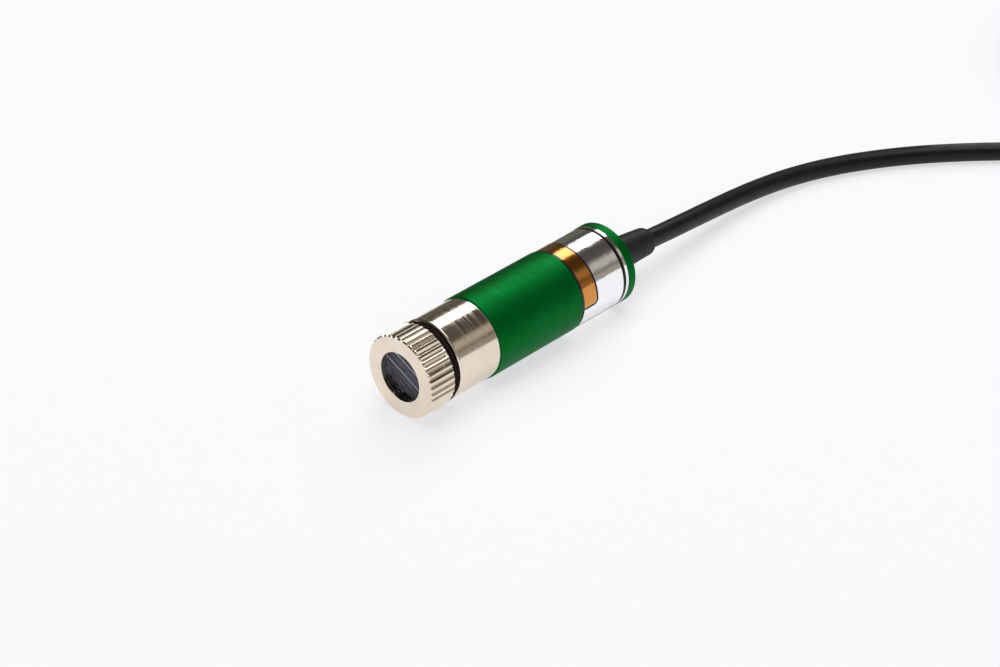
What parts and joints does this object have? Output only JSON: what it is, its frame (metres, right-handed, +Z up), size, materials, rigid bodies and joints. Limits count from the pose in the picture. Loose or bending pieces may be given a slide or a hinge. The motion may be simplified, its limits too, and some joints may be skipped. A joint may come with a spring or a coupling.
{
  "type": "laser diode module",
  "caption": "Cylindrical line laser module with a knurled focus ring, green housing, foil band and a round lead with bare cores.",
  "frame": {"origin": "on the surface under the middle of the housing, measured without the lead and what is on it", "axes": "+Y along the module towards the lead, with the beam leaving towards -Y; +Z up from the surface"},
  "size_m": [0.0469, 0.228, 0.016],
  "materials": {
    "green_anodised": "satin green anodised",
    "silver_foil": "glossy foil with an orange field",
    "nickel": "turned brass under satin nickel plate",
    "seal_rubber": "black",
    "lens_clear": "clear",
    "black_anodised": "black anodised",
    "spring_steel": "bright wire",
    "holder_aluminium": "turned",
    "gold_plate": "gold plated",
    "cap_steel": "drawn",
    "board_green": "solder mask",
    "chip_black": "moulded",
    "can_aluminium": "bright",
    "trimmer_blue": "moulded",
    "plug_black": "moulded",
    "core_red": "extruded",
    "core_black": "extruded",
    "boot_black": "matt moulded",
    "jacket_black": "satin extruded",
    "tie_nylon": "nylon",
    "tinned_copper": "tinned"
  },
  "bodies": {
    "housing": {"body_tube": "green_anodised", "foil_label": "silver_foil", "front_barrel": "nickel", "diode_holder": "holder_aluminium", "diode_base": "gold_plate", "diode_cap": "cap_steel", "diode_window": "lens_clear", "diode_pins": "gold_plate", "driver_board": "board_green", "driver_chip": "chip_black", "capacitor": "can_aluminium", "trimmer": "trimmer_blue", "resistors": "chip_black", "transistor": "chip_black", "rectifier": "chip_black", "end_plug": "plug_black", "lead_red": "core_red", "lead_black": "core_black", "cable_boot": "boot_black", "cable": "jacket_black", "cable_coil": "jacket_black", "cable_tie": "tie_nylon", "core_red": "core_red", "core_black": "core_black", "core_tips": "tinned_copper"},
    "spring_seat": {"focus_spring": "spring_steel"},
    "focus_head": {"focus_ring": "nickel", "seal_ring": "seal_rubber", "line_lens": "lens_clear", "lens_spacer": "black_anodised", "collimator_lens": "lens_clear", "lens_retainer": "black_anodised"}
  },
  "joints": [
    {"name": "focus_travel", "type": "slide", "parent": "housing", "child": "spring_seat", "axis": [0, -1, 0], "range_m": [-0.00025, 0.001], "deforming": ["focus_spring"]},
    {"name": "focus_turn", "type": "hinge", "parent": "spring_seat", "child": "focus_head", "pos_m": [0, -0.0266, 0.008], "axis": [0, -1, 0], "range_deg": [-181, 721]}
  ],
  "couplings": [
    {"joint": "focus_turn", "follows": "focus_travel", "rad_per_m": 12566}
  ]
}
